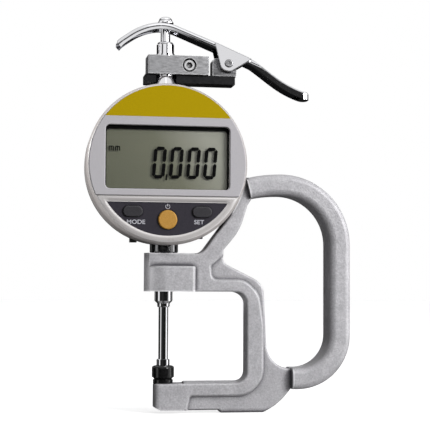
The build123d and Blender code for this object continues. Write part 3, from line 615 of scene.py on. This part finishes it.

# %% [markdown]
# ## Plastics and printed plates of the indicator
# The case is a light warm grey, semi-gloss with a faint moulded grain. The plastics differ
# only in colour, gloss and grain, so one function makes them all instead of a node tree for
# each. Where it is asked to, it also paints highlights on the edges, where the light catches
# them, and paints shade into the gaps between two mouldings.

# %% Case


def plastic(name, dark, light, low_gloss, high_gloss, grain=1800, height=0.03 * mm,
            strength=0.3, shine=0.5, rim_highlight=None, rim_width=0.4 * mm, gap_shade=None):
    """A moulded plastic: two near colours, gloss, grain, painted edge highlights and gap shade.
    """
    material, nodes, links, shader = new_material(name)
    speckle = noise(nodes, links, grain, detail=3.0)
    colour = shades(nodes, links, speckle, (0.3, dark), (0.7, light))
    # Painted highlight on the outside edges.
    if rim_highlight:
        edge_highlight = between(nodes, links, nearness(nodes, rim_width, True), 0.85, 0.0, 0.50, 0.95)
        colour = mixed(nodes, links, edge_highlight, colour, rim_highlight)
    # Painted shade in the gaps and creases.
    if gap_shade:
        painted_gap_shade = between(nodes, links, nearness(nodes, 1.2 * mm, False), 0.95, 0.0, 0.50, 0.92)
        colour = mixed(nodes, links, painted_gap_shade, colour, gap_shade)
    links.new(colour, shader.inputs["Base Color"])
    links.new(between(nodes, links, noise(nodes, links, grain / 3), low_gloss, high_gloss),
              shader.inputs["Roughness"])
    shader.inputs["Specular IOR Level"].default_value = shine
    bumps(nodes, links, shader, speckle, height, strength)
    return material


# The rim colour is a painted highlight on the edges, and the gap colour is painted shade in the
# gaps.
beige = {"dark": (0.39, 0.364, 0.354), "light": (0.445, 0.416, 0.405), "low_gloss": 0.28,
         "high_gloss": 0.40, "rim_highlight": (0.74, 0.72, 0.71), "gap_shade": (0.30, 0.28, 0.27)}
case_beige = plastic("case_beige", **beige)
dress(case_beige, "indicator_case")

# %% [markdown]
# The display side carries a lilac-grey printed panel and a yellow plate above it. The lower
# segment holds a dark slate keypad with two grey keys and an amber one. The rear ring, the
# covers at the back and the parts inside are black plastic, and the board is green.

# %% Panels, keys and inner plastics
# Painted highlight on the panel's edges.
panel_lilac = plastic("panel_lilac", (0.46, 0.445, 0.465), (0.53, 0.515, 0.535), 0.34, 0.46,
                      grain=2600, shine=0.3, rim_highlight=(0.80, 0.79, 0.80), rim_width=0.3 * mm)
dress(panel_lilac, "face_panel")
panel_yellow = plastic("panel_yellow", (0.41, 0.285, 0.001), (0.48, 0.340, 0.002), 0.34, 0.46,
                       grain=2000, shine=0.04)
dress(panel_yellow, "name_plate")
# Painted shadow, near black, in the gaps round the keys.
keypad_slate = plastic("keypad_slate", (0.022, 0.019, 0.028), (0.036, 0.032, 0.044),
                       0.42, 0.55, grain=3000, shine=0.25, gap_shade=(0.003, 0.003, 0.004))
dress(keypad_slate, "keypad_panel")
# Painted highlight on the rims of the keys.
button_grey = plastic("button_grey", (0.024, 0.023, 0.027), (0.036, 0.034, 0.040),
                      0.45, 0.60, grain=3000, shine=0.3, rim_highlight=(0.24, 0.24, 0.25),
                      rim_width=0.45 * mm)
dress(button_grey, "mode_button", "set_button")
button_amber = plastic("button_amber", (0.47, 0.235, 0.035), (0.57, 0.305, 0.060),
                       0.35, 0.50, grain=2400, shine=0.3)
dress(button_amber, "power_button")
black_plastic = plastic("black_plastic", (0.010, 0.010, 0.010), (0.022, 0.022, 0.022),
                        0.38, 0.55, grain=2200, height=0.06 * mm)
dress(black_plastic, "rear_housing", "back_plate", "battery_cover", "key_switches",
      "encoder_head", "case_gasket")
board_green = plastic("board_green", (0.02, 0.12, 0.05), (0.04, 0.18, 0.08), 0.3, 0.4)
dress(board_green, "circuit_board", "encoder_scale")

# %% [markdown]
# The bushes that guide the spindle are brass, and so is the shoe between the clamp screw
# and the stem. They are hardly seen, so two near colours and an even gloss are enough.

# %% Turned brass
turned_brass = finish("turned_brass", (0.45, 0.30, 0.10), (0.62, 0.44, 0.18), 900, 0.3,
                      metal=1.0)
dress(turned_brass, "clamp_shoe", "stem_bush", "upper_bush")

# %% [markdown]
# ## Display
# The display cell is a reflective grey-green plate behind a clear window. It is brighter
# towards its upper right corner. A real reflection would have to come from one more strip
# in the room, which the chrome would mirror too, so the brightness is part of the cell's
# colour and rises along a slanted line.

# %% Display cell and window
display_cell, nodes, links, shader = new_material("display_cell")
cell_slope = Vector((0.85, 0, 0.50))
dim, bright = (corner.dot(cell_slope) for corner in map(Vector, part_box("display_module")))
slant = nodes.new("ShaderNodeVectorMath")
slant.operation = "DOT_PRODUCT"
links.new(coordinates(nodes), slant.inputs[0])
slant.inputs[1].default_value = cell_slope
links.new(shades(nodes, links, between(nodes, links, slant.outputs["Value"], 0, 1, dim, bright),
                 (0.08, (0.096, 0.102, 0.062)), (0.50, (0.148, 0.152, 0.098)),
                 (0.80, (0.335, 0.338, 0.280))), shader.inputs["Base Color"])
links.new(between(nodes, links, noise(nodes, links, 1500), 0.30, 0.42),
          shader.inputs["Roughness"])
dress(display_cell, "display_module")

window_clear = finish("window_clear", (0.90, 0.92, 0.88), (0.96, 0.98, 0.94), 500, 0.08)
window_clear.node_tree.nodes["Principled BSDF"].inputs["Alpha"].default_value = 0.025
dress(window_clear, "window_glass")

# %% [markdown]
# ## Pieces added to the CAD
# The digits, the border of the display, the bead round the keypad, the spring and the
# lettering are modelled here. Like a CAD piece, a finished piece has its object at the
# origin and its place in its mesh. One helper sees to that, turns the faces outwards, and
# names and paints the piece. Two more shade it smooth and join several meshes.

# %% Helpers for added pieces


def piece_done(obj, name, body, material):
    """Apply the place to the mesh, point faces outwards, name it, paint it, let it ride."""
    deselect()
    obj.select_set(True)
    bpy.context.view_layer.objects.active = obj
    bpy.ops.object.transform_apply(location=True, rotation=True, scale=True)
    bpy.ops.object.mode_set(mode="EDIT")
    bpy.ops.mesh.select_all(action="SELECT")
    bpy.ops.mesh.remove_doubles(threshold=1e-6)
    bpy.ops.mesh.normals_make_consistent(inside=False)
    bpy.ops.object.mode_set(mode="OBJECT")
    obj.name = name
    obj.data.materials.clear()
    obj.data.materials.append(material)
    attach(obj, body)


def smoothed(obj, degrees):
    """Shade a piece smooth, but keep edges sharper than the angle."""
    deselect()
    obj.select_set(True)
    bpy.context.view_layer.objects.active = obj
    bpy.ops.object.shade_smooth_by_angle(angle=radians(degrees))


def joined(objects):
    """Several meshes made into one."""
    deselect()
    for obj in objects:
        obj.select_set(True)
    bpy.context.view_layer.objects.active = objects[0]
    bpy.ops.object.join()
    return objects[0]


# %% [markdown]
# The digits are seven-segment figures. A picture on the display could show them, but a
# mesh stays sharp from near as well. They are built from one stroke, a flat bar with
# pointed ends: a plane is stretched and divided in four, the points at the middle of its
# two ends are drawn out, and it is extruded to the thickness of the ink. What repeats is
# made once and then copied to its places, each copy with its own mesh.

# %% One stroke of a figure
window_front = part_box("window_glass")[0].y
stroke_width = 1.5 * mm
blunt_tip = 0.12 * mm
ink_thickness = 0.06 * mm


def stroke(length, width=stroke_width):
    """A flat bar with pointed ends along X, at the origin, that faces the front."""
    deselect()
    bpy.ops.mesh.primitive_plane_add(size=1, location=(0, 0, 0))
    bar = bpy.context.object
    bpy.ops.object.mode_set(mode="EDIT")
    bpy.ops.mesh.select_all(action="SELECT")
    bpy.ops.transform.resize(value=(length - width, width, 1))
    bpy.ops.mesh.subdivide(number_cuts=1)
    bpy.ops.mesh.select_all(action="DESELECT")
    bpy.ops.object.mode_set(mode="OBJECT")
    for vertex in bar.data.vertices:
        if abs(vertex.co.y) < 1e-7 and abs(vertex.co.x) > (length - width) / 4:
            vertex.co.x += (width / 2 - blunt_tip) * (1 if vertex.co.x > 0 else -1)
    bpy.ops.object.mode_set(mode="EDIT")
    bpy.ops.mesh.select_all(action="SELECT")
    bpy.ops.mesh.extrude_region_move(TRANSFORM_OT_translate={"value": (0, 0, ink_thickness)})
    bpy.ops.object.mode_set(mode="OBJECT")
    bar.data.transform(Matrix.Rotation(pi / 2, 4, "X"))
    return bar


def spot(x, z, upright=False):
    """The move to a place on the display, with a quarter turn for a standing stroke."""
    return Matrix.Translation((x, 0, z)) @ Matrix.Rotation(pi / 2 if upright else 0, 4, "Y")


def repeated(piece, moves):
    """The piece at the first place, and a copy with its own mesh at each other one."""
    pieces = [piece]
    for _ in moves[1:]:
        twin = piece.copy()
        twin.data = piece.data.copy()
        bpy.context.scene.collection.objects.link(twin)
        pieces.append(twin)
    for each, move in zip(pieces, moves):
        each.data.transform(move)
    return pieces


print("window's front in mm:", round(window_front / mm, 2))

# %% [markdown]
# A zero has six strokes, two lying and four standing. One zero is made and copied to the
# four places, and all are leaned a little, as in the photograph. They lie on the front of
# the clear window. The unit in the corner is made of smaller strokes, three legs and a bar
# for a letter that is used twice.

# %% Display digits and unit


def figure_zero(width, height):
    """The six strokes of a zero, measured from its lower left corner."""
    sides = (stroke_width / 2, width - stroke_width / 2)
    ends = (stroke_width / 2, height - stroke_width / 2)
    lying = [spot(width / 2, z) for z in ends]
    standing = [spot(x, (z + height / 2) / 2, upright=True) for x in sides for z in ends]
    return joined(repeated(stroke(width - stroke_width), lying)
                  + repeated(stroke((height - stroke_width) / 2), standing))


def unit_letter(height):
    """Three legs under a bar, measured from the letter's lower left corner."""
    legs = [spot(leg * mm, height / 2, upright=True) for leg in leg_places]
    top = [spot(leg_places[1] * mm, height - bar_width / 2)]
    return joined(repeated(stroke(height, leg_width), legs)
                  + repeated(stroke(bar_length, bar_width), top))


digit_low, digit_high = 101.7 * mm, 115.7 * mm
digit_lefts = (-7.0, 0.5, 8.1, 15.6)
digit_width = 5.6 * mm
lean = 0.085
ink_front = window_front - 0.02 * mm
point_x, point_z = -0.55 * mm, digit_low + 0.6 * mm
point_length, point_width = 3.0 * mm, 0.75 * mm
zero = figure_zero(digit_width, digit_high - digit_low)
zeros = repeated(zero, [spot(left * mm, digit_low) for left in digit_lefts])
point = repeated(stroke(point_length, point_width), [spot(point_x, point_z, upright=True)])
digits = joined(zeros + point)
for vertex in digits.data.vertices:
    vertex.co.x += (vertex.co.z - digit_low) * lean
    vertex.co.y += ink_front
unit_low, unit_high = 113.35 * mm, 115.6 * mm
letter_lefts = (-25.9, -23.1)
leg_places = (0.22, 1.10, 1.98)
leg_width, bar_width, bar_length = 0.44 * mm, 0.40 * mm, 2.1 * mm
letter = unit_letter(unit_high - unit_low)
unit = joined(repeated(letter, [spot(left * mm, unit_low) for left in letter_lefts]))
for vertex in unit.data.vertices:
    vertex.co.y += ink_front
display_ink_and_shadow = finish("display_ink_and_shadow", (0.003, 0.003, 0.003), (0.007, 0.007, 0.007), 1200,
                     0.8, shine=0.02)
for obj, name in ((digits, "display_digits"), (unit, "display_unit")):
    piece_done(obj, name, "gauge", display_ink_and_shadow)
    print(name + ":", len(obj.data.polygons), "faces")

# %% [markdown]
# The window is framed by a dark border, partly printed and partly a painted shadow of the
# panel's edge. It is widest at the top, where that shadow falls. Four bars could make it, but
# would have to meet at the corners, so it starts as one plane. The opening is an inset whose
# four sides are then moved to their own distances, and its corners are rounded.

# %% Display border
border_low, border_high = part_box("window_glass")
border_size = (border_high.x - border_low.x, border_high.z - border_low.z)
border_middle = (border_low + border_high) / 2
border_front = window_front - 0.005 * mm
border_depth = 0.02 * mm
first_inset = 2.0 * mm
opening_corner_r = 1.4 * mm
# The margins round this opening are partly printed border and partly painted shadow.
opening = {"left": -26.9 * mm, "right": 26.5 * mm, "top": 123.1 * mm, "bottom": 97.1 * mm}
deselect()
bpy.ops.mesh.primitive_plane_add(size=1)
border = bpy.context.object
bpy.ops.object.mode_set(mode="EDIT")
bpy.ops.mesh.select_all(action="SELECT")
bpy.ops.transform.resize(value=(*border_size, 1))
bpy.ops.mesh.inset(thickness=first_inset)
bpy.ops.mesh.delete(type="FACE")
bpy.ops.mesh.select_mode(type="VERT")
bpy.ops.mesh.select_all(action="DESELECT")
bpy.ops.object.mode_set(mode="OBJECT")
for vertex in border.data.vertices:
    if abs(vertex.co.x) < (border_size[0] - first_inset) / 2:
        vertex.co.x = opening["right" if vertex.co.x > 0 else "left"] - border_middle.x
        vertex.co.y = opening["top" if vertex.co.y > 0 else "bottom"] - border_middle.z
        vertex.select = True
bpy.ops.object.mode_set(mode="EDIT")
bpy.ops.mesh.bevel(offset=opening_corner_r, segments=5, affect="VERTICES")
bpy.ops.mesh.select_all(action="SELECT")
bpy.ops.mesh.extrude_region_move(TRANSFORM_OT_translate={"value": (0, 0, border_depth)})
bpy.ops.object.mode_set(mode="OBJECT")
border.data.transform(Matrix.Translation((border_middle.x, border_front, border_middle.z))
                      @ Matrix.Rotation(pi / 2, 4, "X"))
piece_done(border, "display_border_and_shadow", "gauge", display_ink_and_shadow)
print("display border:", len(border.data.polygons), "faces")

# %% [markdown]
# The case's moulding swells round the keypad: a soft convex bead along the chord under the
# display panel and along the lower arc. A curve with a profile could follow that outline,
# but would overlap itself at the two sharp corners. Here the bead starts as a disc, cut off
# along the chord. The short edges next to the corners are dissolved, since they would cross
# when they move inwards. Each step of the profile is an inset that moves the face inside it
# up or down.

# %% Bead round the keypad
case_low, case_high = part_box("indicator_case")
dial_centre = Vector((0, 0, (case_low.z + case_high.z) / 2))
bead_r = 34.3 * mm
panel_gap = 0.05 * mm
bead_base = case_low.y + 0.6 * mm
corner_reach = 5.0 * mm
bead_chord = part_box("face_panel")[0].z - dial_centre.z - panel_gap
bead_steps = ((0.02, 0.55), (0.48, 0.25), (0.50, 0.12), (0.50, 0.04), (0.40, -0.04),
              (0.35, -0.14), (0.25, -0.23), (0.25, -0.20), (0.001, -0.35))
deselect()
bpy.ops.mesh.primitive_circle_add(vertices=160, radius=bead_r, fill_type="NGON")
bead = bpy.context.object
bpy.ops.object.mode_set(mode="EDIT")
bpy.ops.mesh.select_mode(type="VERT")
bpy.ops.mesh.select_all(action="SELECT")
bpy.ops.mesh.bisect(plane_co=(0, bead_chord, 0), plane_no=(0, 1, 0), clear_outer=True)
bpy.ops.mesh.select_all(action="DESELECT")
bpy.ops.object.mode_set(mode="OBJECT")
corner = Vector(((bead_r ** 2 - bead_chord ** 2) ** 0.5, bead_chord))
for vertex in bead.data.vertices:
    off_corner = Vector((abs(vertex.co.x), vertex.co.y)) - corner
    vertex.select = 0.05 * mm < off_corner.length < corner_reach
bpy.ops.object.mode_set(mode="EDIT")
bpy.ops.mesh.dissolve_verts()
bpy.ops.mesh.select_mode(type="FACE")
bpy.ops.mesh.select_all(action="SELECT")
for inward, rise in bead_steps:
    bpy.ops.mesh.inset(thickness=inward * mm, depth=rise * mm)
bpy.ops.mesh.delete(type="FACE")
bpy.ops.mesh.select_mode(type="EDGE")
bpy.ops.mesh.select_all(action="DESELECT")
bpy.ops.mesh.select_non_manifold()
bpy.ops.mesh.bridge_edge_loops()
bpy.ops.object.mode_set(mode="OBJECT")
bead.data.transform(Matrix.Translation((0, bead_base, dial_centre.z))
                    @ Matrix.Rotation(pi / 2, 4, "X"))
print("keypad bead:", len(bead.data.polygons), "faces")

# %% [markdown]
# The bead has the case's own plastic. Along the chord it slopes down to the keypad, and
# the photograph shows it darker there. No light alone gives that without darkening the
# keypad too, so the colour is darkened by its place, between the panel and the keypad's
# upper edge and short of the two corners.

# %% Bead's finish
bead_beige = plastic("bead_beige", **beige)
nodes, links = bead_beige.node_tree.nodes, bead_beige.node_tree.links
shader = nodes["Principled BSDF"]
place = nodes.new("ShaderNodeSeparateXYZ")
links.new(coordinates(nodes), place.inputs["Vector"])
chord_z = bead_chord + dial_centre.z
slope_start, slope_end = chord_z - 0.9 * mm, chord_z - 2.6 * mm
shade_end, arc_start = chord_z - 3.2 * mm, chord_z - 3.4 * mm
corner_start, corner_end = 25.5 * mm, 28.0 * mm
slope = between(nodes, links, place.outputs["Z"], 1.0, 0.0, slope_end, slope_start)
off_arc = between(nodes, links, place.outputs["Z"], 0.0, 1.0, arc_start, shade_end)
off_side = nodes.new("ShaderNodeMath")
off_side.operation = "ABSOLUTE"
links.new(place.outputs["X"], off_side.inputs[0])
off_corners = between(nodes, links, off_side.outputs[0], 1.0, 0.0, corner_start, corner_end)
# Painted shade on the chord's slope, darkest next to the keypad.
chord_shade = product(nodes, links, product(nodes, links, slope, off_corners), off_arc)
plain_colour = shader.inputs["Base Color"].links[0].from_socket
links.new(mixed(nodes, links, chord_shade, plain_colour, (0.21, 0.195, 0.19)),
          shader.inputs["Base Color"])
piece_done(bead, "keypad_bead", "gauge", bead_beige)
smoothed(bead, 40)
print("keypad bead's finish:", bead_beige.name)

# %% [markdown]
# ## Return spring
# Inside the case a coil spring pushes the spindle down. It has to shorten by the spindle's
# whole stroke, which the CAD's rigid spring can't do, so the CAD's spring is hidden and a coil
# of its own is made in its place. A helix could be a curve with a round section, but a Screw
# modifier gives an exact number of turns and steps: this one is a small eight-sided wire
# section wound up with it, in the same place.

# %% Return spring
spring_low, spring_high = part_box("spindle_spring")
wire_r = 0.3 * mm
wire_sides = 8
spring_turns = 7
spring_steps = 28
spring_r = (spring_high.x - spring_low.x) / 2 - wire_r
spring_length = spring_high.z - spring_low.z
deselect()
bpy.ops.mesh.primitive_circle_add(vertices=wire_sides, radius=wire_r,
                                  location=(spring_r, 0, 0), rotation=(pi / 2, 0, 0))
coil = bpy.context.object
bpy.ops.object.transform_apply(location=True, rotation=True, scale=False)
winding = coil.modifiers.new("winding", "SCREW")
winding.axis = "Z"
winding.steps = spring_steps
winding.render_steps = spring_steps
winding.iterations = spring_turns
winding.screw_offset = (spring_length - 2 * wire_r) / spring_turns
bpy.ops.object.modifier_apply(modifier="winding")
bpy.ops.object.mode_set(mode="EDIT")
bpy.ops.mesh.select_mode(type="EDGE")
bpy.ops.mesh.select_all(action="DESELECT")
bpy.ops.mesh.select_non_manifold()
bpy.ops.mesh.fill_holes(sides=wire_sides)
bpy.ops.object.mode_set(mode="OBJECT")
coil.data.transform(Matrix.Translation((0, 0, spring_low.z + wire_r)))
piece_done(coil, "return_spring", "gauge", screw_steel)
smoothed(coil, 50)
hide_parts("spindle_spring")
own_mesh(coil)

# %% [markdown]
# ## Lettering
# The keypad is printed with a word under each oblong button. They are plain words for what
# the buttons do. A picture could carry them, but raised letters stay sharp from near. They
# are text objects, turned into meshes before they are placed, and scaled to the width and
# height of the print.

# %% Words


def words(name, text, centre, size):
    """Thin raised lettering on the keypad, scaled to a width and a height."""
    deselect()
    bpy.ops.object.text_add(location=(0, 0, 0))
    obj = bpy.context.object
    obj.data.body = text
    obj.data.align_x = "CENTER"
    obj.data.extrude = letter_depth
    obj.data.offset = letter_weight
    obj.data.resolution_u = 3
    bpy.ops.object.convert(target="MESH")
    obj = bpy.context.object
    lows = [min(v.co[i] for v in obj.data.vertices) for i in range(3)]
    highs = [max(v.co[i] for v in obj.data.vertices) for i in range(3)]
    shift = Matrix.Translation([-(a + b) / 2 for a, b in zip(lows, highs)])
    scale = Matrix.Diagonal((size[0] / (highs[0] - lows[0]), size[1] / (highs[1] - lows[1]),
                             ink_thickness / (highs[2] - lows[2]), 1))
    place = (Matrix.Translation((centre[0], keypad_front, centre[1]))
             @ Matrix.Rotation(pi / 2, 4, "X"))
    obj.data.transform(place @ scale @ shift)
    piece_done(obj, name, "gauge", panel_print)
    print(name + ":", len(obj.data.polygons), "faces")


letter_depth = 0.01
letter_weight = 0.012
panel_print = finish("panel_print", (0.50, 0.50, 0.54), (0.62, 0.62, 0.67), 2500, 0.5)
keypad_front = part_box("keypad_panel")[0].y
words("mode_word", "MODE", (-13.8 * mm, 82.5 * mm), (8.0 * mm, 1.9 * mm))
words("set_word", "SET", (13.9 * mm, 82.7 * mm), (4.4 * mm, 1.9 * mm))

# %% [markdown]
# The round button has a plain power symbol above it. It could be a letter of a symbol
# font, but that depends on the fonts of the computer, so it is modelled: a small section is
# spun most of the way round into an open ring, and a bar stands in the gap.

# %% Power symbol
symbol_r = 0.95 * mm
symbol_line = 0.14 * mm
symbol_z = 89.3 * mm
ring_start, ring_turn = radians(55), radians(290)
bar_size, bar_rise = Vector((0.34, 1.1, 0.1)) * mm, 0.65 * mm
deselect()
bpy.ops.mesh.primitive_circle_add(vertices=4, radius=symbol_line, location=(symbol_r, 0, 0))
power_icon = bpy.context.object
bpy.ops.object.transform_apply(location=True, rotation=False, scale=False)
bpy.ops.object.mode_set(mode="EDIT")
bpy.ops.mesh.select_all(action="SELECT")
bpy.ops.transform.rotate(value=pi / 2, orient_axis="X", center_override=(symbol_r, 0, 0))
bpy.ops.mesh.spin(steps=24, angle=ring_turn, center=(0, 0, 0), axis=(0, 0, 1))
bpy.ops.object.mode_set(mode="OBJECT")
power_icon.data.transform(Matrix.Rotation(ring_start, 4, "Z"))
deselect()
bpy.ops.mesh.primitive_cube_add(size=1)
bar = bpy.context.object
bar.data.transform(Matrix.Translation((0, bar_rise, 0))
                   @ Matrix.Diagonal((*bar_size, 1)))
power_icon = joined([power_icon, bar])
power_icon.data.transform(Matrix.Translation((0, keypad_front, symbol_z))
                          @ Matrix.Rotation(pi / 2, 4, "X"))
piece_done(power_icon, "power_icon", "gauge", panel_print)
print("power_icon:", len(power_icon.data.polygons), "faces")
